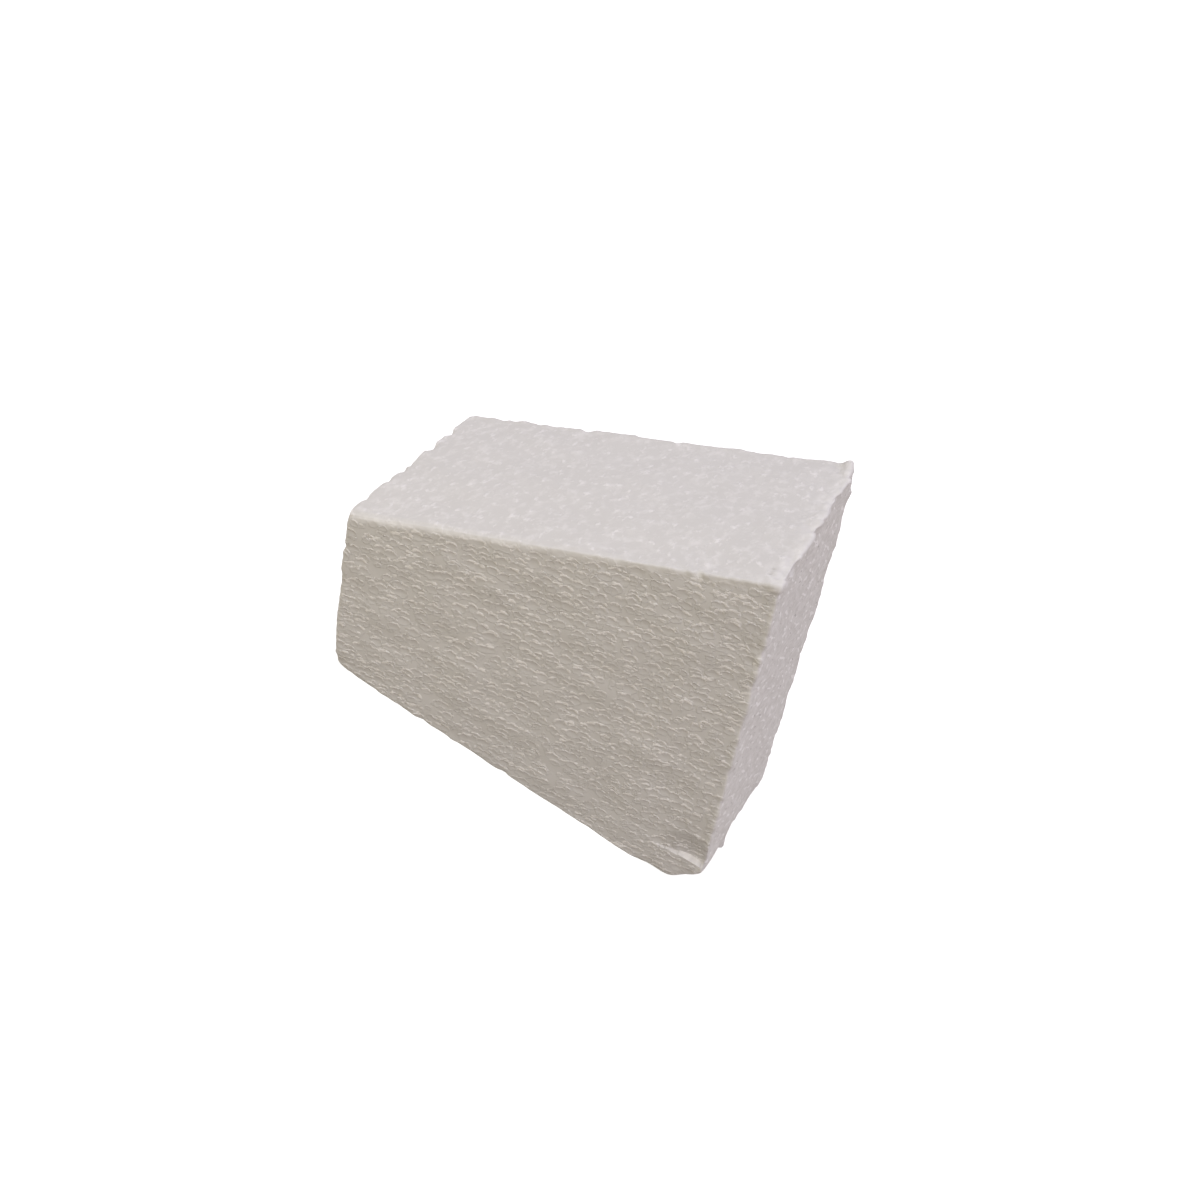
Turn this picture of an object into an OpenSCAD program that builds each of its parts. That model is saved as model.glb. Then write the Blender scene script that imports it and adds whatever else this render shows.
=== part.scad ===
// Foam block: an offcut of expanded-bead foam sheet with four hand-cut sides.
// It stands on its slanted base cut. X runs along the base, Y through the sheet, Z up.
// The front and back faces are the sheet's own faces, so they are parallel.

/* [Sheet] */
// Thickness of the foam sheet, from the front face to the back face
sheet_thickness = 50; // [42:0.5:60]
// Width of one foam bead
bead_size = 2.8; // [2.2:0.1:3.4]

/* [Cuts] */
// Length of the base cut along the front face
base_length = 96.5; // [88:0.5:110]
// Length of the left end cut along the front face
left_end_length = 41.6; // [34:0.2:52]
// Length of the right end cut along the front face
right_end_length = 84.3; // [76:0.1:96]
// Angle inside the block between the base cut and the left end cut
left_end_angle = 100.5; // [92:0.5:106]
// Angle inside the block between the base cut and the right end cut
right_end_angle = 76.1; // [71:0.1:86]

/* [Squareness of the cuts] */
// How far the base cut opens out towards the back
base_flare = 2.1; // [-3:0.1:3]
// How far the top cut opens out towards the back
top_flare = 1.5; // [-3:0.1:3]
// How far the right end cut opens out towards the back
right_flare = 1.2; // [-3:0.1:3]
// How far the left end cut opens out towards the back
left_flare = -1.8; // [-3:0.1:3]

/* [Worn edges] */
// Radius that handling has left on most edges
edge_wear = 0.5; // [0.4:0.1:1.2]
// Radius of the worn corner at the front, top left
top_left_wear = 1.6; // [1:0.1:5]
// Radius of the worn corner at the front, bottom left
bottom_left_wear = 1.2; // [1:0.1:4]
// Share of the beads that are missing along an edge between two cuts
cut_edge_loss = 0.5; // [0.2:0.05:0.7]
// Share of the beads that are missing along an edge of the front or back face
sheet_edge_loss = 0.08; // [0:0.02:0.2]
// Depth of the hollow that a missing bead leaves, from the sharp edge
hollow_depth = 0.65; // [0.5:0.05:1.3]
// Distance of the nick in the top left edge from the front face
nick_distance = 32.6; // [10:0.2:38]
// Width of the nick
nick_width = 5; // [3:0.1:7]
// Depth of the nick, from the sharp edge
nick_depth = 1; // [0.7:0.1:2.2]

/* [Crushed tip] */
// Length that the crushed tip takes from the base edge of the front face
crush_along_base = 7.7; // [5:0.1:9]
// Length that it takes from the right edge of the front face
crush_up_end = 6.2; // [4:0.1:7]
// Length that it takes from the bottom right edge, going back
crush_through = 13; // [6:0.1:16]

/* [Broken patch above the tip] */
// Distance of the deepest point in from the right edge of the front face
break_inset = 2.5; // [2:0.1:6]
// Height of the deepest point above the base
break_height = 5.5; // [5:0.1:10]
// Reach of the broken patch, from its deepest point
break_reach = 11; // [8:0.1:12]
// Depth of the broken patch
break_depth = 2; // [1.2:0.1:3.5]
// Height of the ledge above the deepest point
ledge_lift = 2.8; // [1.5:0.1:4]
// Slope of the ledge, up towards the right
ledge_rise = 5; // [0:1:20]
// Slope of the ledge, up into the foam
ledge_pitch = 15; // [10:1:40]

/* [Raised lip] */
// Height of the lip at the back, top right
lip_height = 1.5; // [0.4:0.1:2]
// Width of the lip, along the top edge
lip_width = 3; // [2:0.1:4]
// Length of the lip, along the top right edge
lip_length = 7; // [4:0.1:12]
// Radius of the lip's rounded tip
lip_radius = 1; // [0.6:0.1:1.2]

/* [Hidden] */
foam_colour = [0.84, 0.82, 0.81];
loss_seed = 41;
wear_steps = 3;
bead_spread = 0.25;
hollow_share = 0.6;
hollow_faces = 16;
break_faces = 96;
lip_faces = 14;
reach_clear = 3;
corner_clear = 2 * bead_size;

// Corners of the front face's outline, as [x, z] in the plane of the sheet
base_left = [0, 0];
base_right = [base_length, 0];
top_left = left_end_length * [cos(left_end_angle), sin(left_end_angle)];
top_right = base_right + right_end_length * [-cos(right_end_angle), sin(right_end_angle)];

// A face is its outward unit normal and its distance from the origin
function unit(v) = v / norm(v);
function cut_normal(run, flare) = unit([-run[1], -tan(flare), run[0]]);
function cut_face(from, to, flare) =
    let (n = cut_normal(unit(to - from), flare))
    [n, n * [from[0], 0, from[1]]];
front = [[0, -1, 0], 0];
back = [[0, 1, 0], sheet_thickness];
base = cut_face(base_right, base_left, base_flare);
top = cut_face(top_left, top_right, top_flare);
left_end = cut_face(base_left, top_left, left_flare);
right_end = cut_face(top_right, base_right, right_flare);

// Point where three faces meet, once each has moved inwards by inset
function meet(f, g, h, inset) =
    let (
        gh = cross(g[0], h[0]),
        hf = cross(h[0], f[0]),
        fg = cross(f[0], g[0])
    )
    ((f[1] - inset) * gh + (g[1] - inset) * hf + (h[1] - inset) * fg) / (f[0] * gh);

// Each corner is its three faces, the radius that wear has left there,
// and how far along its edges the missing beads keep away from it
corners = [
    [left_end, base, front, bottom_left_wear, corner_clear],
    [right_end, base, front, edge_wear, corner_clear + crush_through],
    [right_end, top, front, edge_wear, corner_clear],
    [left_end, top, front, top_left_wear, corner_clear],
    [left_end, base, back, edge_wear, corner_clear],
    [right_end, base, back, edge_wear, corner_clear],
    [right_end, top, back, edge_wear, corner_clear + lip_length],
    [left_end, top, back, edge_wear, corner_clear]
];
function corner_point(c, inset) = meet(c[0], c[1], c[2], inset);

// Each edge is its two corners, the two faces that share it and its share of missing beads
edges = [
    [0, 1, base, front, sheet_edge_loss],
    [1, 2, right_end, front, sheet_edge_loss],
    [2, 3, top, front, sheet_edge_loss],
    [3, 0, left_end, front, sheet_edge_loss],
    [4, 5, base, back, sheet_edge_loss],
    [5, 6, right_end, back, sheet_edge_loss],
    [6, 7, top, back, sheet_edge_loss],
    [7, 4, left_end, back, sheet_edge_loss],
    [0, 4, base, left_end, cut_edge_loss],
    [1, 5, base, right_end, cut_edge_loss],
    [2, 6, top, right_end, cut_edge_loss],
    [3, 7, top, left_end, cut_edge_loss]
];

// Points of one worn corner: they touch its three faces and bulge between them
function worn_corner(c) =
    let (centre = corner_point(c, c[3]))
    [
        for (i = [0 : wear_steps])
            for (j = [0 : wear_steps - i])
                centre + c[3] * unit(i * c[0][0] + j * c[1][0] + (wear_steps - i - j) * c[2][0])
    ];

module worn_blank() {
    points = [for (c = corners) each worn_corner(c)];
    hull()
        polyhedron(points, [[for (i = [0 : len(points) - 1]) i]]);
}

// Round hollow of one radius and depth, a distance along an edge
module hollow(edge, distance, radius, depth) {
    start = corner_point(corners[edge[0]], 0);
    finish = corner_point(corners[edge[1]], 0);
    outward = unit(edge[2][0] + edge[3][0]);
    translate(start + distance * unit(finish - start) + (radius - depth) * outward)
        sphere(r = radius, $fn = hollow_faces);
}

// Hollows along one edge, where single beads have come away
module missing_beads(index) {
    edge = edges[index];
    start = corners[edge[0]];
    finish = corners[edge[1]];
    length = norm(corner_point(finish, 0) - corner_point(start, 0));
    count = floor(length / bead_size);
    chance = rands(0, 1, count, loss_seed + index);
    size = rands(1 - bead_spread, 1 + bead_spread, count, loss_seed + len(edges) + index);
    for (i = [ceil(start[4] / bead_size) : floor((length - finish[4]) / bead_size) - 1])
        if (chance[i] < edge[4])
            hollow(edge, (i + 0.5) * bead_size, size[i] * bead_size * hollow_share, size[i] * hollow_depth);
}

// Rounded nick in the top left edge, as wide as nick_width at the sharp edge
module nick() {
    half = nick_width / 2;
    edge = edges[11];
    hollow(edge, nick_distance, (half * half + nick_depth * nick_depth) / (2 * nick_depth), nick_depth);
}

// Everything outside the flat that the crushed tip has left
module crushed_tip() {
    tip = corner_point(corners[1], 0);
    along = unit(corner_point(corners[0], 0) - tip);
    up = unit(corner_point(corners[2], 0) - tip);
    through = unit(corner_point(corners[5], 0) - tip);
    flat = [tip + crush_along_base * along, tip + crush_up_end * up, tip + crush_through * through];
    middle = (flat[0] + flat[1] + flat[2]) / 3;
    rim = [for (p = flat) middle + reach_clear * (p - middle)];
    outward = unit(cross(flat[1] - flat[0], flat[2] - flat[0]));
    apex = middle + reach_clear * crush_through * outward * sign(outward * (tip - middle));
    polyhedron([rim[0], rim[1], rim[2], apex], [[0, 1, 2], [0, 3, 1], [1, 3, 2], [2, 3, 0]]);
}

// Shallow dish broken out of the front face, with only the part above a sloping ledge gone
module broken_patch() {
    radius = (break_reach * break_reach + break_depth * break_depth) / (2 * break_depth);
    edge_x = base_length - break_height / tan(right_end_angle);
    translate([edge_x - break_inset, 0, break_height])
        intersection() {
            translate([0, break_depth - radius, 0])
                sphere(r = radius, $fn = break_faces);
            translate([0, 0, ledge_lift])
                rotate([0, -ledge_rise, 0])
                    rotate([ledge_pitch, 0, 0])
                        translate([-reach_clear * break_reach, -reach_clear * break_reach, 0])
                            cube(2 * reach_clear * break_reach);
        }
}

// Soft lip that the knife has pushed up at the back, top right
module raised_lip() {
    tip = corners[6];
    crest = corner_point(tip, lip_radius) + lip_height * top[0];
    centre = corner_point(tip, edge_wear);
    along = unit(corner_point(corners[7], edge_wear) - centre);
    forward = unit(corner_point(corners[2], edge_wear) - centre);
    hull() {
        translate(crest)
            sphere(r = lip_radius, $fn = lip_faces);
        translate(centre + lip_width * along)
            sphere(r = edge_wear, $fn = lip_faces);
        translate(centre + lip_length * forward)
            sphere(r = edge_wear, $fn = lip_faces);
    }
}

// The block stands level once it is turned by the base cut's flare
function level(p) = [
    p[0],
    p[1] * cos(base_flare) - p[2] * sin(base_flare),
    p[1] * sin(base_flare) + p[2] * cos(base_flare)
];
function low(axis) = min([for (c = corners) level(corner_point(c, c[3]))[axis] - c[3]]);
function high(axis) = max([for (c = corners) level(corner_point(c, c[3]))[axis] + c[3]]);

module foam_block() {
    color(foam_colour)
        translate([-(low(0) + high(0)) / 2, -(low(1) + high(1)) / 2, -low(2)])
            rotate([base_flare, 0, 0])
                difference() {
                    union() {
                        worn_blank();
                        raised_lip();
                    }
                    for (i = [0 : len(edges) - 1])
                        missing_beads(i);
                    nick();
                    crushed_tip();
                    broken_patch();
                }
}

foam_block();
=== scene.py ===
import math

import bpy
import numpy as np
from mathutils import Matrix, Vector
from mathutils.bvhtree import BVHTree


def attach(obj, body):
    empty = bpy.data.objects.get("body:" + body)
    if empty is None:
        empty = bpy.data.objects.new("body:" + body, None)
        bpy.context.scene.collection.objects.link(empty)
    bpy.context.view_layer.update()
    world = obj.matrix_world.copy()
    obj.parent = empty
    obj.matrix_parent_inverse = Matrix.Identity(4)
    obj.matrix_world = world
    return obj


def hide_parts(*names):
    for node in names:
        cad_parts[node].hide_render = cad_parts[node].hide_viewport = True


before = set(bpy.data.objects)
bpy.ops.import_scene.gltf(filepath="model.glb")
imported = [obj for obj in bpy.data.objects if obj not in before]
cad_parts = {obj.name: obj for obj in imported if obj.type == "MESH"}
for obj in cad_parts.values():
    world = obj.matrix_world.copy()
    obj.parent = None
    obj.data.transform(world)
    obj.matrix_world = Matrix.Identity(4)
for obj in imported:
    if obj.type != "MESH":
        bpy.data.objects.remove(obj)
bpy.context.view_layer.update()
MM = 0.001

# Camera: fitted to the corners of the block in the photograph
CAMERA_AT = (28.8 * MM, -210.4 * MM, 197.9 * MM)
CAMERA_AZIMUTH = 7.96
CAMERA_ELEVATION = 37.03
CAMERA_ROLL = 27.09
SENSOR_WIDTH = 36.0
LENS = 36.12
CLIP = (0.005, 50.0)

# Lamps: name, place, size, power and colour
LAMPS = (
    ("key", (-0.15, -0.07, 0.66), 0.16, 0.71, (0.76, 0.82, 1.0)),
    ("front_fill", (-0.15, -0.24, 0.19), 0.20, 0.185, (1.0, 0.95, 0.62)),
    ("right_fill", (0.60, -0.20, 0.35), 0.40, 0.66, (0.97, 0.90, 1.0)),
)
AMBIENT = (0.668, 0.629, 0.645)

# Floor: its reach, its colour towards the block and the camera, and its glow to the camera
FLOOR_REACH = 40.0
FLOOR_BOUNCE = (0.24, 0.21, 0.15)
FLOOR_SEEN = (0.60, 0.60, 0.60)
FLOOR_GLOW = 0.8

# Colours of the foam, with painted shade, painted highlights and a painted glint
FOAM = (0.706, 0.69, 0.674)
SHADE = (0.645, 0.627, 0.61)
PATCH_SHADE = (0.61, 0.593, 0.573)
CREST_AND_HIGHLIGHT = (0.99, 0.965, 0.95)
GLINT = (1.0, 1.0, 1.0)
FLECK = (0.86, 0.84, 0.835)
LIGHT_SPECK = (0.95, 0.935, 0.935)
DARK_SPECK = (0.52, 0.495, 0.49)
PALE_AND_LIT = (0.90, 0.885, 0.87)
SLIT_SHADE = (0.54, 0.52, 0.49)
ROUGHNESS = 0.75
SPECULAR = 0.25

# Beads: their size along the layers, through the sheet and across the layers
BEAD_SIZE = (2.4 * MM, 3.0 * MM, 1.65 * MM)
LAYER_SLOPE = 19.5
BEAD_IRREGULARITY = 0.95
BEAD_RADIUS = 0.84
RADIUS_SPREAD = 0.42
OVERLAP_STEPS = (0.3, 0.6, 0.9)
LEAST_DROP = 0.3
BEND_SCALE = 2.0
BEND_DETAIL = 3.0
BEND = 0.75

# Rims of the torn beads: their place in shares of the bead's radius, and their strength
RIM_INNER = 0.5
RIM_CREST = 0.84
RIM_OUTER = 1.05
RIM_UP = (0.08, 0.0, 1.0)
RIM_FADE = (-0.1, 0.45)
LEAST_RIM = 0.32
CALM_RIM = 0.8
# How strong the rims stay in the broken patch's painted shade
PATCH_SHADE_RIM = 0.8
# Crest: paler bead walls with a painted highlight; shade: painted shade inside the upper rim
CREST_INNER = (0.42, 0.80)
CREST_OUTER = (1.16, 0.94)
CREST_FADE = (0.12, 0.76)
SHADE_OUTER = (0.92, 0.68)
SHADE_FADE = (-0.35, 0.3)

# Noise of the material, in beads: its stretch and detail, and where a patch starts and is full
PATCHES = {
    "rim": ((0.9, 1.2, 2.0), 3.0, 0.34, 0.62),
    "calm": ((0.22, 0.22, 0.3), 1.0, 0.3, 0.6),
    "glint": ((2.2, 2.2, 2.6), 1.0, 0.58, 0.70),
    "broad_fleck": ((1.3, 1.2, 1.25), 2.0, 0.46, 0.78),
    "sharp_fleck": ((1.8, 1.5, 1.7), 3.0, 0.56, 0.74),
    "mottle": ((0.16, 0.55, 1.0), 3.0, 0.40, 0.64),
    "light_speck": ((0.20, 0.72, 1.0), 1.0, 0.60, 0.68),
    "dark_speck": ((0.28, 1.0, -1.0), 1.0, 0.67, 0.77),
}
BROAD_FLECK = 0.6
SHARP_FLECK = 0.95
MOTTLE = 0.30
SLIT_FADE = (0.2, 0.85)

# Relief that the material adds, in millimetres
RIM_HEIGHT = 0.11
DISH_DEPTH = 0.11
FLECK_HEIGHT = 0.09

# Directions of the grain on the two end cuts: along the knife's drag and across it
DRAG_ALONG = (0.0, 2.62, -1.06)
DRAG_ACROSS = (0.0, 1.82, 1.52)

# How squarely a place faces along an axis: to be on that side of the block, to be on the
# same flat face, and from where to where it counts as a torn face or an end cut
SIDE_FACING = 0.85
SAME_FACING = 0.9999
FACING = (0.75, 0.95)

# Zones of the skin's grid along X, Y and Z: where each ends, as a share, and its cells
SKIN_ZONES = (
    ((0.04, 11), (0.81, 87), (1.0, 72)),
    ((0.06, 10), (0.94, 58), (1.0, 10)),
    ((0.035, 9), (0.24, 55), (0.95, 65), (1.0, 12)),
)

# Soft noises: how many waves each adds up, the spread of their lengths, and each one's seed
NOISE_WAVES = 14
NOISE_SPREAD = (0.6, 1.7)
NOISE_REACH = 1.6
SEEDS = {
    "patches": 3, "strip": 4, "waves": 5, "crumbs": 8, "stairs": 9,
    "roll": 10, "patch_shade": 11, "grains": 13, "calm": 14, "ledge": 21,
}

# Relief of the skin: an even swell, beads at their own levels, and long shallow waves
SWELL = 0.20 * MM
LEVEL_STEP = 0.14 * MM
BEAD_TILT = 0.12 * MM
BEAD_MIDDLE = (0.7, 1.0)
WAVE_HEIGHT = 0.20 * MM
WAVE_LENGTH = 13.0 * MM
CUT_ROUGHNESS = 0.25
TOP_ROUGHNESS = 0.3
TOP_REACH = (0.4 * MM, 2.2 * MM)

# Relief along the block's edges: crisp crests, crumbs, stairs of chipped beads by the top
# right, a rolled edge at the far right, and the bulging front edge of the left end
SOFTENING = 2
SHARPENING = 0.20 * MM
CRISPNESS = 0.45 * MM
CRISP_REACH = 0.38 * MM
CRUMBLE_HEIGHT = 0.22 * MM
CRUMBLE_SIZE = 2.6 * MM
CRUMBLE_REACH = 1.2 * MM
FRONT_RIGHT_CRUMBLE = 0.7
CALM_SIZE = 7.8 * MM
CALM_SHARE = (0.15, 1.2)
STAIR_HEIGHT = 0.5 * MM
STAIR_SIZE = 4.8 * MM
STAIR_REACH = 1.8 * MM
STAIR_STEEPNESS = 2.5
ROLL_HEIGHT = 0.35 * MM
ROLL_SIZE = 17.0 * MM
ROLL_REACH = 3.6 * MM
BULGE_HEIGHT = 0.5 * MM
BULGE_REACH = 1.2 * MM
BULGE_ENDS = (3.0 * MM, 12.0 * MM)

# Wear along the top edge and the left edge of the front face
WORN_DEPTH = 0.25 * MM
WORN_REACH = 1.1 * MM
WORN_WIDTH = (1.5 * MM, 0.3 * MM)
WORN_LENGTH = (45.0 * MM, 5.0 * MM)
LEFT_WORN_SHARE = 0.3

# Bevels on the edge between the front face and the right end, at its top and by the tip
BEVEL_DEPTH = 0.5 * MM
BEVEL_REACH = 1.0 * MM
BEVEL_LENGTH = 9.0 * MM
BEVEL_START = (0.5 * MM, 2.0 * MM)
TIP_BEVEL = 0.5 * MM
LEDGE_HEIGHT = 10.0 * MM

# Wear along the base edge of the right end, and the crumb left standing on it
SCUFF_DEPTH = 1.3 * MM
SCUFF_REACH = 2.0 * MM
SCUFF_LENGTH = 38.0 * MM
CRUMB_AT = 18.0 * MM
CRUMB_WIDTH = 1.4 * MM
CRUMB_SHARE = 1.3

# Crushed tip: the zone round it whose edges are rounded, and the rounds of smoothing
TIP_REACH = (17.0 * MM, 11.0 * MM)
TIP_TOP = (7.5 * MM, 5.5 * MM)
TIP_CALM_TOP = (8.0 * MM, 5.0 * MM)
TIP_SOFTENING = 70

# Pale crumbled foam: a strip on the top by the right edge, a fringe on the edge between the
# front and the right end, and one by the tip; and painted light: a band on the front by its top
# edge
PATCHY_SIZE = 4.0 * MM
GRAIN_SIZE = 1.6 * MM
MOST_PALE = 1.1
STRIP_WIDTH = 3.2 * MM
STRIP_TONE = 0.55
STRIP_RAGGED = 0.8 * MM
STRIP_RAGGED_SIZE = 3.0 * MM
STRIP_FACING = (0.6, 0.85)
BAND_WIDTH = 1.6 * MM
BAND_LENGTH = (60.0 * MM, 5.0 * MM)
BAND_TONE = 0.45
BAND_LEFT_TONE = 0.25
BAND_FACING = (0.5, 0.85)
FRINGE_WIDTH = 0.6 * MM
FRINGE_TONE = 0.6
TIP_TONE = 0.8
TIP_FACING = (0.3, 0.6)

# Painted highlight on the top of the ledge under the broken patch: where it fades to its
# left and to its right, and where painted shade darkens it by the right end
LEDGE_FADE_LEFT = (8.0 * MM, 4.0 * MM)
LEDGE_FADE_RIGHT = (0.5 * MM, 1.8 * MM)
LEDGE_SHADE = 0.5
LEDGE_SHADE_REACH = (1.8 * MM, 0.8 * MM)

# Single marks of the photograph: place, size and height, which is below 0 for a hollow
MARKS = (
    ((28.2 * MM, -21.3 * MM, 81.1 * MM), 0.55 * MM, -0.4 * MM),
    ((28.2 * MM, -23.2 * MM, 81.1 * MM), 0.65 * MM, -0.5 * MM),
    ((47.5 * MM, 6.5 * MM, 19.0 * MM), 0.9 * MM, -0.4 * MM),
    ((47.8 * MM, -8.5 * MM, 15.7 * MM), 0.8 * MM, 0.5 * MM),
    ((32.6 * MM, -5.5 * MM, 77.6 * MM), 1.6 * MM, -0.5 * MM),
    ((-52.8 * MM, -25.0 * MM, 40.9 * MM), 2.0 * MM, -0.45 * MM),
    ((-45.3 * MM, -23.5 * MM, 0.0), 2.5 * MM, -0.6 * MM),
    ((31.9 * MM, 23.4 * MM, 83.2 * MM), 2.3 * MM, -0.55 * MM),
    ((-17.7 * MM, -25.1 * MM, 43.1 * MM), 0.5 * MM, -0.3 * MM),
    ((32.3 * MM, -8.0 * MM, 78.9 * MM), 0.75 * MM, -0.5 * MM),
    ((31.5 * MM, -5.6 * MM, 83.2 * MM), 0.6 * MM, -0.35 * MM),
    ((30.4 * MM, 20.9 * MM, 86.3 * MM), 0.8 * MM, 0.35 * MM),
    ((28.5 * MM, 22.0 * MM, 84.2 * MM), 1.1 * MM, -0.7 * MM),
)

# Hollow marks smaller than this are slits, painted dark as the shade in them
SLIT_SIZE = 1.0 * MM

# Lip at the back, top right: how far the grid is lifted before it is laid onto the CAD solid
LIP_HEIGHT = 1.9 * MM
LIP_WIDTH = 3.6 * MM
LIP_LENGTH = 8.0 * MM
LIP_ROOT = 2.0 * MM

# Broken patch of the front face: its reach and depth on the solid, how much of the depth
# is kept from its far side to the edge, and where painted shade darkens its hollow
PATCH_WIDTH = 14.0 * MM
PATCH_TOP = 20.0 * MM
PATCH_SIDE = 0.7 * MM
PATCH_DEPTH = 2.6 * MM
PATCH_RIM = 0.1 * MM
PATCH_RINGS = 3
PATCH_SHARE = (0.3, 0.85)
PATCH_SPREAD = (9.0 * MM, 3.0 * MM)
PROBE_START = 1.0 * MM
PATCH_SHADE_CENTRE = (4.6 * MM, 12.4 * MM)
PATCH_SHADE_REACH = (5.4 * MM, 4.6 * MM)
PATCH_SHADE_FADE = (1.1, 0.7)
PATCH_SHADE_RAGGED = 0.08
PATCH_SHADE_FACING = (0.35, 0.6)


# Camera
def turn(angle, axis):
    return Matrix.Rotation(math.radians(angle), 4, axis)


def make_camera():
    data = bpy.data.cameras.new("camera")
    data.sensor_width = SENSOR_WIDTH
    data.lens = LENS
    data.clip_start, data.clip_end = CLIP
    camera = bpy.data.objects.new("camera", data)
    bpy.context.scene.collection.objects.link(camera)
    aim = turn(CAMERA_AZIMUTH, "Z") @ turn(90.0 - CAMERA_ELEVATION, "X") @ turn(CAMERA_ROLL, "Z")
    camera.matrix_world = Matrix.Translation(CAMERA_AT) @ aim
    bpy.context.scene.camera = camera


# Node helpers
def add_node(tree, kind, **settings):
    node = tree.nodes.new(kind)
    for key, value in settings.items():
        setattr(node, key, value)
    return node


def feed(tree, sockets, values):
    """Each value set on its socket, or linked to it where it is another node's output."""
    for socket, value in zip(sockets, values):
        if isinstance(value, bpy.types.NodeSocket):
            tree.links.new(value, socket)
        elif value is not None:
            socket.default_value = value


def math_node(tree, operation, *values, clamp=False):
    node = add_node(tree, "ShaderNodeMath", operation=operation, use_clamp=clamp)
    feed(tree, node.inputs, values)
    return node.outputs[0]


def vector_node(tree, operation, *values):
    node = add_node(tree, "ShaderNodeVectorMath", operation=operation)
    feed(tree, node.inputs, values)
    scalar = operation in ("LENGTH", "DISTANCE", "DOT_PRODUCT")
    return node.outputs["Value" if scalar else "Vector"]


def product(tree, first, *others):
    for other in others:
        first = math_node(tree, "MULTIPLY", first, other)
    return first


def between(tree, factor, first, second):
    """First number where factor is 0, second number where it is 1."""
    return math_node(tree, "MULTIPLY_ADD", factor, second - first, first)


def ramp(tree, value, low, high):
    """Smooth step from 0 at low to 1 at high."""
    node = add_node(tree, "ShaderNodeMapRange", interpolation_type="SMOOTHSTEP")
    sockets = node.inputs["Value"], node.inputs["From Min"], node.inputs["From Max"]
    feed(tree, sockets, (value, low, high))
    return node.outputs["Result"]


def pick(tree, factor, first, second):
    """First vector where factor is 0, second vector where it is 1."""
    node = add_node(tree, "ShaderNodeMix", data_type="VECTOR")
    feed(tree, (node.inputs["Factor"], node.inputs[4], node.inputs[5]), (factor, first, second))
    return node.outputs[1]


def tint(tree, factor, first, second):
    """First colour, a socket or numbers, where factor is 0, and second where it is 1."""
    node = add_node(tree, "ShaderNodeMix", data_type="RGBA")
    colours = [c if isinstance(c, bpy.types.NodeSocket) else (*c, 1) for c in (first, second)]
    feed(tree, (node.inputs["Factor"], node.inputs[6], node.inputs[7]), (factor, *colours))
    return node.outputs[2]


def parts(tree, vector):
    node = add_node(tree, "ShaderNodeSeparateXYZ")
    tree.links.new(vector, node.inputs[0])
    return node.outputs


def noise_node(tree, place, scale, detail):
    noise = add_node(tree, "ShaderNodeTexNoise", noise_dimensions="3D")
    sockets = noise.inputs["Vector"], noise.inputs["Scale"], noise.inputs["Detail"]
    feed(tree, sockets, (place, scale, detail))
    return noise.outputs


def patches(tree, place, name):
    """Soft patches of one of the material's noises, from 0 to 1."""
    stretch, detail, low, high = PATCHES[name]
    place = vector_node(tree, "MULTIPLY", place, stretch)
    return ramp(tree, noise_node(tree, place, 1.0, detail)["Fac"], low, high)


def stored(tree, name, output="Fac"):
    """What make_skin has stored on the mesh under a name."""
    return add_node(tree, "ShaderNodeAttribute", attribute_name=name).outputs[output]


# Data of a mesh
def read(items, field, width=1):
    """One field of all items, as numbers or as rows of numbers."""
    values = np.empty(len(items) * width)
    items.foreach_get(field, values)
    return values.reshape(-1, width) if width > 1 else values


def store(mesh, name, values):
    """A number or a vector for each vertex, which node trees read by its name."""
    kind, field = ("FLOAT_VECTOR", "vector") if values.ndim > 1 else ("FLOAT", "value")
    attribute = mesh.attributes.new(name, kind, "POINT")
    attribute.data.foreach_set(field, values.astype(np.float32).ravel())


# The block's flat faces and corners, read from the CAD solid
def flat_faces(mesh):
    """The six largest flat faces, as name -> (outward normal, distance)."""
    normals = read(mesh.polygons, "normal", 3)
    areas = read(mesh.polygons, "area")
    centres = read(mesh.polygons, "center", 3)
    sides = {
        "front": (0, -1, 0), "back": (0, 1, 0), "left": (-1, 0, 0),
        "right": (1, 0, 0), "base": (0, 0, -1), "top": (0, 0, 1),
    }
    faces = {}
    for name, side in sides.items():
        near = normals @ np.array(side) > SIDE_FACING
        largest = np.argmax(np.where(near, areas, 0.0))
        same = normals @ normals[largest] > SAME_FACING
        normal = (normals[same] * areas[same, None]).sum(0)
        normal /= np.linalg.norm(normal)
        distance = (centres[same] @ normal * areas[same]).sum() / areas[same].sum()
        faces[name] = (normal, distance)
    return faces


def corner(faces, *names):
    """The point where three faces meet."""
    return np.linalg.solve([faces[n][0] for n in names], [faces[n][1] for n in names])


def depth_below(points, face):
    normal, distance = face
    return distance - points @ normal


def depths_below(points, faces):
    """How deep each point lies below each of the six faces, by name."""
    return {name: depth_below(points, face) for name, face in faces.items()}


# A closed grid of quads over the block
def zone_shares(zones):
    """Shares from 0 to 1 at the lines of a grid with zones of equal cells."""
    shares = [0.0]
    for end, cells in zones:
        start = shares[-1]
        shares += [start + (end - start) * (i + 1) / cells for i in range(cells)]
    return np.array(shares)


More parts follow.
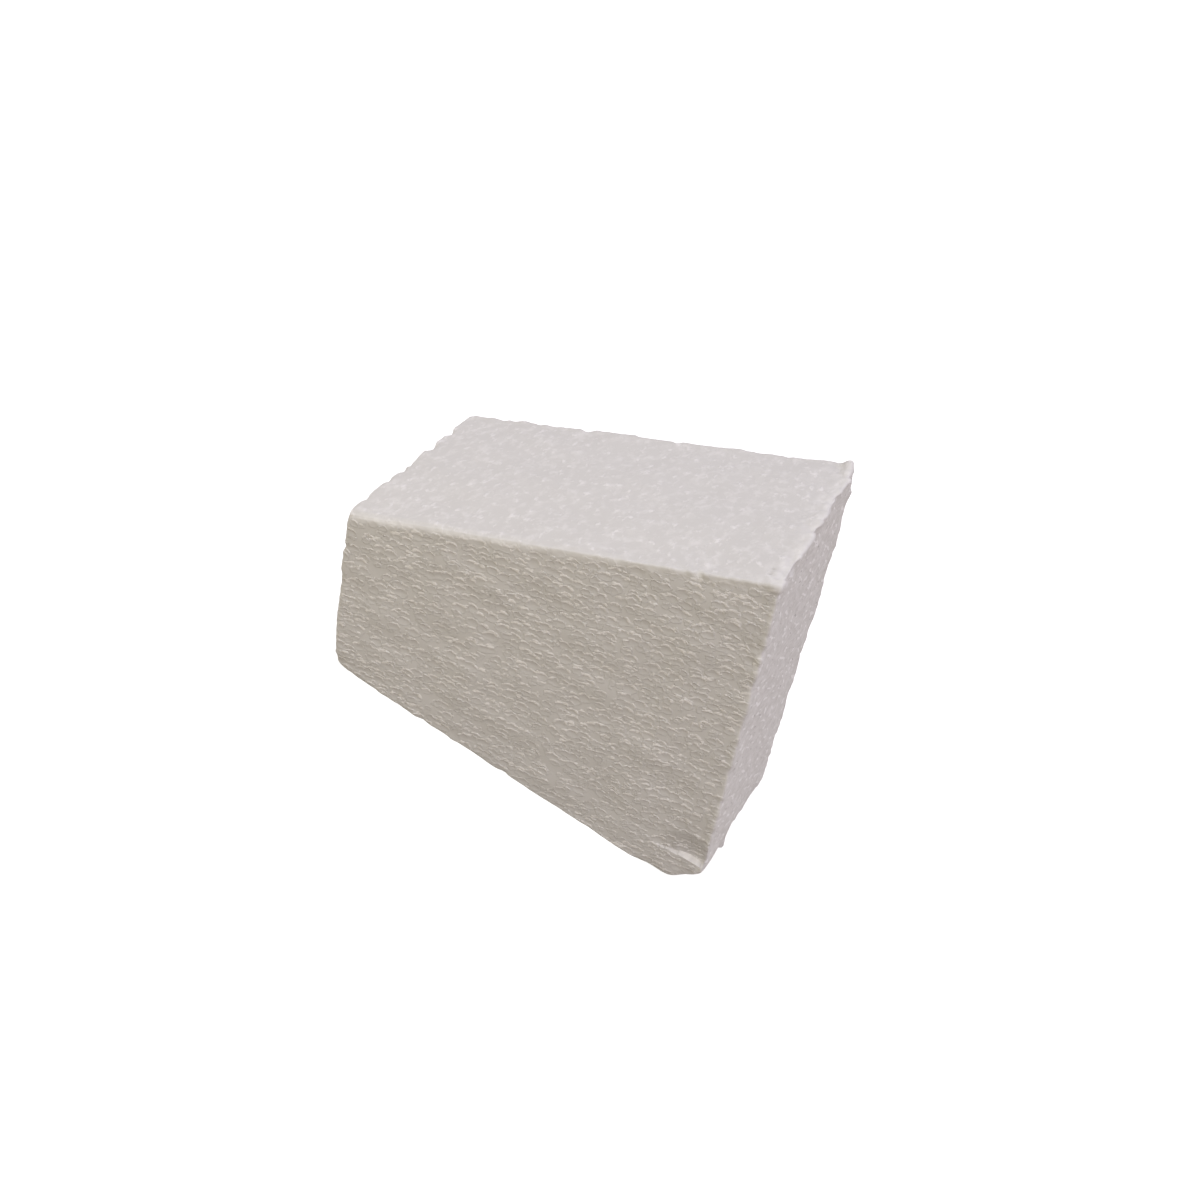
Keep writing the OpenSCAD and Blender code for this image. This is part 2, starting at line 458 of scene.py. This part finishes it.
def block_grid(faces, zones):
    """Points and quads of a grid on the six faces, and which points are on the front."""
    lines = [zone_shares(z) for z in zones]
    cells = [len(line) - 1 for line in lines]
    ends = [("left", "right"), ("front", "back"), ("base", "top")]
    across = np.array(cells) + 1
    stride = np.array([1, across[0], across[0] * across[1]])
    quads = []
    for axis in range(3):
        u, v = (axis + 1) % 3, (axis + 2) % 3
        iu, iv = np.meshgrid(np.arange(cells[u]), np.arange(cells[v]), indexing="ij")
        start = iu * stride[u] + iv * stride[v]
        ring = [start, start + stride[u], start + stride[u] + stride[v], start + stride[v]]
        ring = np.stack([r.ravel() for r in ring], 1)
        quads.append(ring[:, ::-1])
        quads.append(ring + cells[axis] * stride[axis])
    quads = np.concatenate(quads)
    used, quads = np.unique(quads, return_inverse=True)
    quads = quads.reshape(-1, 4)
    lattice = np.stack([used // stride[a] % across[a] for a in range(3)], 1)
    share = np.stack([lines[a][lattice[:, a]] for a in range(3)], 1)
    points = np.zeros((len(used), 3))
    for x in (0, 1):
        for y in (0, 1):
            for z in (0, 1):
                place = corner(faces, ends[0][x], ends[1][y], ends[2][z])
                weight = np.ones(len(used))
                for a, side in enumerate((x, y, z)):
                    weight = weight * (share[:, a] if side else 1 - share[:, a])
                points += weight[:, None] * place
    return points, quads, lattice[:, 1] == 0


def point_normals(points, quads):
    a, b, c, d = (points[quads[:, i]] for i in range(4))
    facing = np.cross(c - a, d - b)
    normals = np.zeros_like(points)
    for i in range(4):
        np.add.at(normals, quads[:, i], facing)
    return normals / np.linalg.norm(normals, axis=1)[:, None]


def smoothed(values, quads, rounds):
    """Values averaged with their neighbours along the quads' edges."""
    for _ in range(rounds):
        total = np.zeros_like(values)
        count = np.zeros(len(values))
        for i in range(4):
            a, b = quads[:, i], quads[:, (i + 1) % 4]
            np.add.at(total, a, values[b])
            np.add.at(count, a, 1.0)
        values = 0.5 * values + 0.5 * total / (count[:, None] if values.ndim > 1 else count)
    return values


def smooth_step(value, low, high):
    share = np.clip((value - low) / (high - low), 0.0, 1.0)
    return share * share * (3.0 - 2.0 * share)


def soft_noise(points, size, name):
    """Smooth noise from -1 to 1, from a few waves in seeded directions."""
    rng = np.random.default_rng(SEEDS[name])
    total = np.zeros(len(points))
    for _ in range(NOISE_WAVES):
        direction = rng.normal(size=3)
        direction /= np.linalg.norm(direction)
        pitch = size * rng.uniform(*NOISE_SPREAD)
        total += np.sin(2 * math.pi * (points @ direction) / pitch + rng.uniform(0, 2 * math.pi))
    return total / math.sqrt(NOISE_WAVES / 2) / NOISE_REACH


# The skin's main shape, from the CAD solid
def with_lip(points, faces):
    """Points near the back, top right corner moved up onto the lip."""
    tip = corner(faces, "right", "back", "top")
    along = corner(faces, "left", "back", "top") - tip
    forward = corner(faces, "right", "front", "top") - tip
    inward = points - tip
    share = 1 - inward @ along / np.linalg.norm(along) / LIP_WIDTH
    share -= inward @ forward / np.linalg.norm(forward) / LIP_LENGTH
    root = smooth_step(depth_below(points, faces["top"]), LIP_ROOT, 0.0)
    return points + (LIP_HEIGHT * np.clip(share, 0, 1) * root)[:, None] * faces["top"][0]


def onto_solid(points, solid):
    """Each point moved to the nearest place on the CAD solid."""
    return np.array([solid.find_nearest(p)[0] for p in points.tolist()])


def patch_depths(points, solid, front, faces):
    """How far back the broken patch goes behind each point of the front face."""
    normal = faces["right"][0]
    below_right = depth_below(points, faces["right"])
    depths = np.zeros(len(points))
    for i in np.flatnonzero(front & (below_right < PATCH_WIDTH) & (points[:, 2] < PATCH_TOP)):
        start = points[i] - max(0.0, PATCH_SIDE - below_right[i]) * normal
        start -= [0.0, PROBE_START, 0.0]
        hit, facing, _, reach = solid.ray_cast(Vector(start), (0.0, 1.0, 0.0))
        if hit is not None and facing.y < -SIDE_FACING and reach < PROBE_START + PATCH_DEPTH:
            depths[i] = reach - PROBE_START
    return depths


def with_patch(points, grid, quads, front, depths, faces):
    """The broken patch cut straight back from the front face, above a crisp ledge."""
    inside = depths > PATCH_RIM
    around = inside.copy()
    for _ in range(PATCH_RINGS):
        around[np.unique(quads[around[quads].any(1)])] = True
    below_right = depth_below(grid, faces["right"])
    around &= front & (below_right > PATCH_SIDE)
    around |= inside
    least, most = PATCH_SHARE
    share = least + (most - least) * smooth_step(below_right, *PATCH_SPREAD)
    points = points.copy()
    points[around] = grid[around]
    points[around, 1] += share[around] * depths[around]
    return points


def soften_tip(points, quads, faces):
    """The crushed tip's edges rounded over, below the ledge."""
    tip = corner(faces, "right", "base", "front")
    near = smooth_step(np.linalg.norm(points - tip, axis=1), *TIP_REACH)
    near *= smooth_step(points[:, 2], *TIP_TOP)
    local = quads[(near[quads] > 0).any(1)]
    used, local = np.unique(local, return_inverse=True)
    local = local.reshape(-1, 4)
    whole = np.bincount(local.ravel(), minlength=len(used)) == 4
    share = (near[used] * whole)[:, None]
    piece = points[used]
    for _ in range(TIP_SOFTENING):
        piece = piece + share * (smoothed(piece, local, 1) - piece)
    points = points.copy()
    points[used] = piece
    return points


# Beads
def to_bead_space(points):
    """Places in beads: along the layers, through the sheet, across the layers."""
    slope = math.radians(LAYER_SLOPE)
    axes = np.array([
        [math.cos(slope), 0.0, math.sin(slope)],
        [0.0, 1.0, 0.0],
        [-math.sin(slope), 0.0, math.cos(slope)],
    ])
    return points @ axes.T / np.array(BEAD_SIZE)


def bead_at(tree, place):
    """Centre and three chances of the nearest bead."""
    cells = add_node(tree, "ShaderNodeTexVoronoi", voronoi_dimensions="3D", feature="F1")
    sockets = cells.inputs["Vector"], cells.inputs["Scale"], cells.inputs["Randomness"]
    feed(tree, sockets, (place, 1.0, BEAD_IRREGULARITY))
    return cells.outputs["Position"], cells.outputs["Color"]


def bead_radius(tree, chance):
    return between(tree, parts(tree, chance)[0], BEAD_RADIUS, (1 - RADIUS_SPREAD) * BEAD_RADIUS)


def bead_field(tree, place):
    """Beads that overlap upwards like scales: offset, share of the radius and chances."""
    bend = noise_node(tree, place, BEND_SCALE, BEND_DETAIL)["Color"]
    bend = vector_node(tree, "SUBTRACT", bend, (0.5, 0.5, 0.5))
    bend = vector_node(tree, "MULTIPLY", bend, (BEND, BEND, BEND))
    place = vector_node(tree, "ADD", place, bend)
    centre, chance = bead_at(tree, place)
    for step in OVERLAP_STEPS:
        lowered = vector_node(tree, "SUBTRACT", place, (0.0, 0.0, step))
        below, below_chance = bead_at(tree, lowered)
        drop = math_node(tree, "SUBTRACT", parts(tree, centre)[2], parts(tree, below)[2])
        lower = math_node(tree, "GREATER_THAN", drop, LEAST_DROP)
        reach = vector_node(tree, "DISTANCE", place, below)
        covers = math_node(tree, "LESS_THAN", reach, bead_radius(tree, below_chance))
        over = product(tree, lower, covers)
        centre = pick(tree, over, centre, below)
        chance = pick(tree, over, chance, below_chance)
    offset = vector_node(tree, "SUBTRACT", place, centre)
    reach = vector_node(tree, "LENGTH", offset)
    share = math_node(tree, "DIVIDE", reach, bead_radius(tree, chance))
    return offset, share, chance


def bead_probe():
    """Geometry nodes that read the same beads as the material does."""
    tree = bpy.data.node_groups.new("bead_probe", "GeometryNodeTree")
    for way in ("INPUT", "OUTPUT"):
        tree.interface.new_socket("Geometry", in_out=way, socket_type="NodeSocketGeometry")
    shape = tree.nodes.new("NodeGroupInput").outputs[0]
    place = add_node(tree, "GeometryNodeInputNamedAttribute", data_type="FLOAT_VECTOR")
    place.inputs["Name"].default_value = "bead_at"
    offset, share, chance = bead_field(tree, place.outputs["Attribute"])
    results = (
        ("offset", "FLOAT_VECTOR", offset),
        ("share", "FLOAT", share),
        ("chance", "FLOAT_VECTOR", chance),
    )
    for name, kind, value in results:
        node = add_node(tree, "GeometryNodeStoreNamedAttribute", data_type=kind, domain="POINT")
        sockets = node.inputs["Name"], node.inputs["Geometry"], node.inputs["Value"]
        feed(tree, sockets, (name, shape, value))
        shape = node.outputs["Geometry"]
    tree.links.new(shape, tree.nodes.new("NodeGroupOutput").inputs[0])
    return tree


def read_beads(places):
    """Offset from the bead, share of its radius and three chances, for places in bead space."""
    mesh = bpy.data.meshes.new("bead_places")
    mesh.vertices.add(len(places))
    mesh.vertices.foreach_set("co", places.ravel())
    store(mesh, "bead_at", places)
    holder = bpy.data.objects.new("bead_places", mesh)
    bpy.context.scene.collection.objects.link(holder)
    probe = bead_probe()
    holder.modifiers.new("probe", "NODES").node_group = probe
    found = holder.evaluated_get(bpy.context.evaluated_depsgraph_get()).data.attributes
    offset = read(found["offset"].data, "vector", 3)
    share = read(found["share"].data, "value")
    chance = read(found["chance"].data, "vector", 3)
    bpy.data.objects.remove(holder)
    bpy.data.meshes.remove(mesh)
    bpy.data.node_groups.remove(probe)
    return offset, share, chance


# Relief and tones of the skin
def roughness_of(points, normals, faces):
    """1 on the torn front and back, less on the knife-cut sides and by the top."""
    rough = CUT_ROUGHNESS + (1 - CUT_ROUGHNESS) * smooth_step(np.abs(normals[:, 1]), *FACING)
    from_top = smooth_step(depth_below(points, faces["top"]), *TOP_REACH)
    return rough * (TOP_ROUGHNESS + (1 - TOP_ROUGHNESS) * from_top)


def mark_share(points, place, size):
    """1 at a mark's place, fading over its size."""
    return np.exp(-(np.linalg.norm(points - np.array(place), axis=1) / size) ** 2)


def edge_relief(points, below, faces):
    """Crisp crests, crumbs, chips and bulges along the edges, all calm round the tip."""
    to_edge = np.sort(np.array(list(below.values())), axis=0)[1]
    near_edge = np.exp(-to_edge / CRUMBLE_REACH)
    crisp = CRISPNESS * np.exp(-(np.maximum(to_edge, 0) / CRISP_REACH) ** 2)

    crumbs = CRUMBLE_HEIGHT * soft_noise(points, CRUMBLE_SIZE, "crumbs")
    crumbs *= np.clip(0.55 + 0.6 * soft_noise(points, CALM_SIZE, "calm"), *CALM_SHARE)
    by_front_right = np.maximum(below["front"], below["right"])
    crumbs *= near_edge + FRONT_RIGHT_CRUMBLE * np.exp(-by_front_right / CRUMBLE_REACH)

    by_top_right = np.maximum(below["top"], below["right"])
    stairs = STAIR_STEEPNESS * soft_noise(points, STAIR_SIZE, "stairs")
    stairs = np.clip(stairs, -1, 1) - 0.2
    stairs *= STAIR_HEIGHT * np.exp(-by_top_right / STAIR_REACH)

    by_far_right = np.maximum(np.minimum(below["base"], below["back"]), below["right"])
    roll = ROLL_HEIGHT * (soft_noise(points, ROLL_SIZE, "roll") - 0.3)
    roll *= np.exp(-by_far_right / ROLL_REACH)

    by_front_left = np.maximum(below["front"], below["left"])
    bulge = BULGE_HEIGHT * np.exp(-(np.maximum(by_front_left, 0) / BULGE_REACH) ** 2)
    bulge *= smooth_step(below["base"], *BULGE_ENDS) * smooth_step(below["top"], *BULGE_ENDS)

    edge = SHARPENING * near_edge + crisp + crumbs + stairs + roll + bulge
    to_tip = np.linalg.norm(points - corner(faces, "right", "base", "front"), axis=1)
    return edge * (1 - smooth_step(to_tip, *TIP_REACH) * smooth_step(points[:, 2], *TIP_CALM_TOP))


def worn_away(points, below):
    """What wear has taken from the front's edges and from the right end's base edge."""
    left_share = smooth_step(below["left"], *WORN_LENGTH)
    worn = np.exp(-below["top"] / WORN_REACH) * (0.5 + 0.5 * left_share)
    worn = np.maximum(worn, LEFT_WORN_SHARE * np.exp(-below["left"] / WORN_REACH))
    worn *= WORN_DEPTH * smooth_step(below["front"], *WORN_WIDTH)

    by_top = smooth_step(below["top"], BEVEL_LENGTH, 0.4 * BEVEL_LENGTH)
    by_top *= smooth_step(below["top"], *BEVEL_START)
    by_tip = smooth_step(points[:, 2], LEDGE_HEIGHT, 0.7 * LEDGE_HEIGHT)
    bevel = np.exp(-np.maximum(below["front"], below["right"]) / BEVEL_REACH)
    bevel *= BEVEL_DEPTH * by_top + TIP_BEVEL * by_tip

    scuff = SCUFF_DEPTH * np.exp(-np.maximum(below["base"], below["right"]) / SCUFF_REACH)
    scuff *= smooth_step(below["front"], SCUFF_LENGTH, 0.5 * SCUFF_LENGTH)
    scuff *= 1 - CRUMB_SHARE * np.exp(-((below["front"] - CRUMB_AT) / CRUMB_WIDTH) ** 2)
    return worn + bevel + scuff


def foam_relief(points, rough, faces):
    """Height of the skin at each point: bead levels, waves, edges, marks and wear."""
    offset, share, chance = read_beads(to_bead_space(points))
    inner = 1.0 - smooth_step(share, *BEAD_MIDDLE)
    level = LEVEL_STEP * (chance[:, 0] - 0.5) + BEAD_TILT * (offset * (chance - 0.5)).sum(1)
    wave = WAVE_HEIGHT * soft_noise(points, WAVE_LENGTH, "waves")
    below = depths_below(points, faces)
    edge = edge_relief(points, below, faces)
    marks = sum(height * mark_share(points, place, size) for place, size, height in MARKS)
    return SWELL + rough * inner * level + wave + edge + marks - worn_away(points, below)


def pale_and_lit_share(points, normals, faces):
    """1 where handling has crumbled the foam to a paler tone by the top's edges, and on a band of
    painted light on the front below its top edge.
    """
    below = depths_below(points, faces)
    patchy = 0.62 + 0.3 * soft_noise(points, PATCHY_SIZE, "patches")
    patchy = np.clip(patchy + 0.35 * soft_noise(points, GRAIN_SIZE, "grains"), 0, MOST_PALE)

    ragged = below["right"] - STRIP_RAGGED * soft_noise(points, STRIP_RAGGED_SIZE, "strip")
    strip = STRIP_TONE * smooth_step(ragged, STRIP_WIDTH, 0.4 * STRIP_WIDTH)
    strip *= smooth_step(normals[:, 2], *STRIP_FACING)

    # Painted light: a paler band on the front below its top edge
    band = smooth_step(below["top"], BAND_WIDTH, 0.3 * BAND_WIDTH)
    band *= BAND_TONE + BAND_LEFT_TONE * smooth_step(below["left"], *BAND_LENGTH)
    band *= smooth_step(-normals[:, 1], *BAND_FACING)

    by_front_right = np.maximum(below["front"], below["right"])
    fringe = FRINGE_TONE * np.exp(-(by_front_right / FRINGE_WIDTH) ** 2)

    by_tip = TIP_TONE * smooth_step(below["right"], 4 * FRINGE_WIDTH, FRINGE_WIDTH)
    by_tip *= smooth_step(-normals[:, 1], *TIP_FACING)
    by_tip *= smooth_step(points[:, 2], LEDGE_HEIGHT, 0.8 * LEDGE_HEIGHT)
    return np.maximum(patchy * np.maximum(np.maximum(strip, band), fringe), by_tip)


def patch_shade_share(points, normals, faces):
    """1 in the broken patch above the ledge, where the foam lies deeper: painted shade in the
    hollow.
    """
    across = (depth_below(points, faces["right"]) - PATCH_SHADE_CENTRE[0]) / PATCH_SHADE_REACH[0]
    up = (points[:, 2] - PATCH_SHADE_CENTRE[1]) / PATCH_SHADE_REACH[1]
    reach = np.hypot(across, up) + PATCH_SHADE_RAGGED * soft_noise(points, PATCHY_SIZE, "patch_shade")
    return smooth_step(reach, *PATCH_SHADE_FADE) * smooth_step(-normals[:, 1], *PATCH_SHADE_FACING)


def slit_share(points):
    """1 in the small hollow marks, which are painted dark as shade."""
    slit = np.zeros(len(points))
    for place, size, height in MARKS:
        if size < SLIT_SIZE and height < 0:
            slit = np.maximum(slit, mark_share(points, place, size))
    return slit


def ledge_quads(mesh, grid, quads, front, faces):
    """Which quads are the top of the ledge under the broken patch."""
    start = quads[:, 0]
    ledge = front[quads].all(1) & (read(mesh.polygons, "normal", 3)[:, 2] > 0.5)
    ledge &= grid[start, 2] < PATCH_TOP
    return ledge & (depth_below(grid, faces["right"])[start] < PATCH_WIDTH)


def store_tones(mesh, points, normals, grid, on_ledge, faces):
    """Tones of the foam, with painted light and shade; the ledge's top gets a painted highlight,
    ragged towards its two ends, and painted shade by its right end.
    """
    pale_and_lit = pale_and_lit_share(points, normals, faces)
    patch_shade = patch_shade_share(points, normals, faces)
    below_right = depth_below(grid[on_ledge], faces["right"])
    ragged = 0.78 + 0.45 * soft_noise(grid[on_ledge], GRAIN_SIZE, "ledge")
    # Painted highlight on the ledge's top, which faces the light
    pale_and_lit[on_ledge] = 0.1 + 0.9 * smooth_step(below_right, *LEDGE_FADE_LEFT)
    pale_and_lit[on_ledge] *= 0.4 + 0.6 * smooth_step(below_right, *LEDGE_FADE_RIGHT)
    pale_and_lit[on_ledge] *= np.clip(ragged, 0.3, 1.0)
    # Painted shade on the ledge by the right end
    patch_shade[on_ledge] = LEDGE_SHADE * smooth_step(below_right, *LEDGE_SHADE_REACH)
    store(mesh, "pale_and_lit", pale_and_lit)
    store(mesh, "patch_shade", patch_shade)
    store(mesh, "slit", slit_share(points))
    store(mesh, "ends", smooth_step(np.abs(normals[:, 0]), *FACING))


def make_skin():
    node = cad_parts["foam_block"]
    faces = flat_faces(node.data)
    grid, quads, front = block_grid(faces, SKIN_ZONES)
    solid = BVHTree.FromObject(node, bpy.context.evaluated_depsgraph_get())
    points = smoothed(onto_solid(with_lip(grid, faces), solid), quads, SOFTENING)
    points = soften_tip(points, quads, faces)
    depths = patch_depths(grid, solid, front, faces)
    points = with_patch(points, grid, quads, front, depths, faces)
    normals = smoothed(point_normals(points, quads), quads, 2)
    normals /= np.linalg.norm(normals, axis=1)[:, None]
    rough = smoothed(roughness_of(points, normals, faces), quads, 2)
    outer = points + foam_relief(points, rough, faces)[:, None] * normals
    outer[:, 2] = np.maximum(outer[:, 2], 0.0)
    mesh = bpy.data.meshes.new("foam_skin")
    mesh.from_pydata(outer.tolist(), [], quads.tolist())
    ledge = ledge_quads(mesh, grid, quads, front, faces)
    mesh.polygons.foreach_set("use_smooth", ~ledge)
    store(mesh, "bead_at", to_bead_space(points))
    store(mesh, "rough", rough)
    store_tones(mesh, points, normals, grid, np.unique(quads[ledge]), faces)
    skin = bpy.data.objects.new("foam_skin", mesh)
    bpy.context.scene.collection.objects.link(skin)
    return skin


# Materials
def torn_beads(tree, place, rough, patch_shade):
    """Shallow dishes with a rim raised along their upper side: height, crest and shade; the crest
    is paler bead walls with a painted highlight, and the shade is painted shade under the rim.
    """
    offset, share, _ = bead_field(tree, place)
    rise = vector_node(tree, "DOT_PRODUCT", offset, RIM_UP)
    strength = patches(tree, place, "rim")
    calm = patches(tree, place, "calm")
    strength = product(tree, strength, between(tree, calm, CALM_RIM, 1.0))
    strength = between(tree, strength, LEAST_RIM, 1.0)
    # The crests are weaker in the broken patch's painted shade
    strength = product(tree, strength, between(tree, patch_shade, 1.0, PATCH_SHADE_RIM))
    strength = product(tree, strength, ramp(tree, rise, *RIM_FADE))

    outside = ramp(tree, share, RIM_OUTER, RIM_CREST)
    rim = product(tree, ramp(tree, share, RIM_INNER, RIM_CREST), outside, strength)
    dish = product(tree, share, share, outside)
    height = math_node(tree, "MULTIPLY_ADD", dish, DISH_DEPTH, product(tree, rim, RIM_HEIGHT))

    band = product(tree, ramp(tree, share, *CREST_INNER), ramp(tree, share, *CREST_OUTER))
    # The crest: paler bead walls, with a painted highlight along the upper rims that face the
    # light
    crest_and_highlight = ramp(tree, product(tree, band, strength), *CREST_FADE)
    shade = product(tree, ramp(tree, rise, *SHADE_FADE), ramp(tree, share, *SHADE_OUTER))
    return [product(tree, value, rough) for value in (height, crest_and_highlight, shade)]


def cut_flecks(tree, place, rough):
    """Short pale flecks of knife-cut beads that run through the sheet."""
    broad = product(tree, patches(tree, place, "broad_fleck"), BROAD_FLECK)
    sharp = patches(tree, place, "sharp_fleck")
    fleck = math_node(tree, "MULTIPLY_ADD", sharp, SHARP_FLECK, broad)
    return product(tree, fleck, math_node(tree, "SUBTRACT", 1.0, rough, clamp=True))


def end_specks(tree, place, ends):
    """Light and dark specks on the two end cuts, drawn out along the knife's drag."""
    drag = add_node(tree, "ShaderNodeCombineXYZ")
    along = vector_node(tree, "DOT_PRODUCT", place, DRAG_ALONG)
    across = vector_node(tree, "DOT_PRODUCT", place, DRAG_ACROSS)
    feed(tree, drag.inputs, (along, across))
    drag = drag.outputs[0]
    mottle = patches(tree, drag, "mottle")
    light = patches(tree, drag, "light_speck")
    light = math_node(tree, "MULTIPLY_ADD", mottle, MOTTLE, light, clamp=True)
    dark = patches(tree, drag, "dark_speck")
    return product(tree, light, ends), product(tree, dark, ends)


def foam_material():
    material = bpy.data.materials.new("bead_foam")
    material.use_nodes = True
    tree = material.node_tree
    shader = tree.nodes["Principled BSDF"]
    shader.inputs["Roughness"].default_value = ROUGHNESS
    shader.inputs["Specular IOR Level"].default_value = SPECULAR
    place = stored(tree, "bead_at", "Vector")
    rough = stored(tree, "rough")
    patch_shade = stored(tree, "patch_shade")
    height, crest_and_highlight, shade = torn_beads(tree, place, rough, patch_shade)
    fleck = cut_flecks(tree, place, rough)
    light_speck, dark_speck = end_specks(tree, place, stored(tree, "ends"))
    # Painted glint: white spots on the crests' painted highlight
    glint = product(tree, patches(tree, place, "glint"), crest_and_highlight)
    slit = ramp(tree, stored(tree, "slit"), *SLIT_FADE)
    layers = (
        (shade, SHADE), (patch_shade, PATCH_SHADE), (crest_and_highlight, CREST_AND_HIGHLIGHT), (glint, GLINT), (fleck, FLECK),
        (light_speck, LIGHT_SPECK), (dark_speck, DARK_SPECK),
        (stored(tree, "pale_and_lit"), PALE_AND_LIT), (slit, SLIT_SHADE),
    )
    colour = FOAM
    for factor, layer in layers:
        colour = tint(tree, factor, colour, layer)
    tree.links.new(colour, shader.inputs["Base Color"])
    bump = add_node(tree, "ShaderNodeBump")
    height = math_node(tree, "MULTIPLY_ADD", fleck, FLECK_HEIGHT, height)
    sockets = bump.inputs["Strength"], bump.inputs["Distance"], bump.inputs["Height"]
    feed(tree, sockets, (1.0, MM, height))
    tree.links.new(bump.outputs["Normal"], shader.inputs["Normal"])
    return material


def camera_share(tree, strength=1.0):
    """The strength for what the camera, mirrors and glass see, and 0 for other light."""
    path = add_node(tree, "ShaderNodeLightPath").outputs
    seen = math_node(tree, "ADD", path["Is Camera Ray"], path["Is Glossy Ray"], clamp=True)
    seen = math_node(tree, "ADD", seen, path["Is Transmission Ray"], clamp=True)
    return product(tree, seen, strength)


def floor_material():
    material = bpy.data.materials.new("studio_floor")
    material.use_nodes = True
    tree = material.node_tree
    shader = tree.nodes["Principled BSDF"]
    colour = tint(tree, camera_share(tree), FLOOR_BOUNCE, FLOOR_SEEN)
    tree.links.new(colour, shader.inputs["Base Color"])
    shader.inputs["Roughness"].default_value = 1.0
    shader.inputs["Specular IOR Level"].default_value = 0.0
    glow = add_node(tree, "ShaderNodeEmission")
    tree.links.new(camera_share(tree, FLOOR_GLOW), glow.inputs["Strength"])
    both = add_node(tree, "ShaderNodeAddShader")
    feed(tree, both.inputs, (shader.outputs[0], glow.outputs[0]))
    tree.links.new(both.outputs[0], tree.nodes["Material Output"].inputs["Surface"])
    return material


# Stage
def make_floor():
    mesh = bpy.data.meshes.new("studio_floor")
    r = FLOOR_REACH
    mesh.from_pydata([(-r, -r, 0), (r, -r, 0), (r, r, 0), (-r, r, 0)], [], [(0, 1, 2, 3)])
    mesh.materials.append(floor_material())
    floor = bpy.data.objects.new("studio_floor", mesh)
    bpy.context.scene.collection.objects.link(floor)


def make_world():
    """Even light on the block, and plain white behind it for the camera."""
    world = bpy.data.worlds.new("studio")
    bpy.context.scene.world = world
    world.use_nodes = True
    tree = world.node_tree
    tree.nodes.clear()
    ambient = add_node(tree, "ShaderNodeBackground")
    ambient.inputs["Color"].default_value = (*AMBIENT, 1)
    white = add_node(tree, "ShaderNodeBackground")
    white.inputs["Color"].default_value = (1, 1, 1, 1)
    mix = add_node(tree, "ShaderNodeMixShader")
    feed(tree, mix.inputs, (camera_share(tree), ambient.outputs[0], white.outputs[0]))
    tree.links.new(mix.outputs[0], add_node(tree, "ShaderNodeOutputWorld").inputs[0])


def make_lamps():
    for name, at, size, power, colour in LAMPS:
        data = bpy.data.lights.new(name, "AREA")
        data.shape = "SQUARE"
        data.size = size
        data.energy = power
        data.color = colour
        lamp = bpy.data.objects.new(name, data)
        lamp.location = at
        lamp.rotation_euler = (-Vector(at)).to_track_quat("-Z", "Y").to_euler()
        bpy.context.scene.collection.objects.link(lamp)


make_camera()
make_world()
make_lamps()
make_floor()
skin = make_skin()
skin.data.materials.append(foam_material())
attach(skin, "root")
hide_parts("foam_block")
bpy.context.scene.view_settings.view_transform = "Standard"
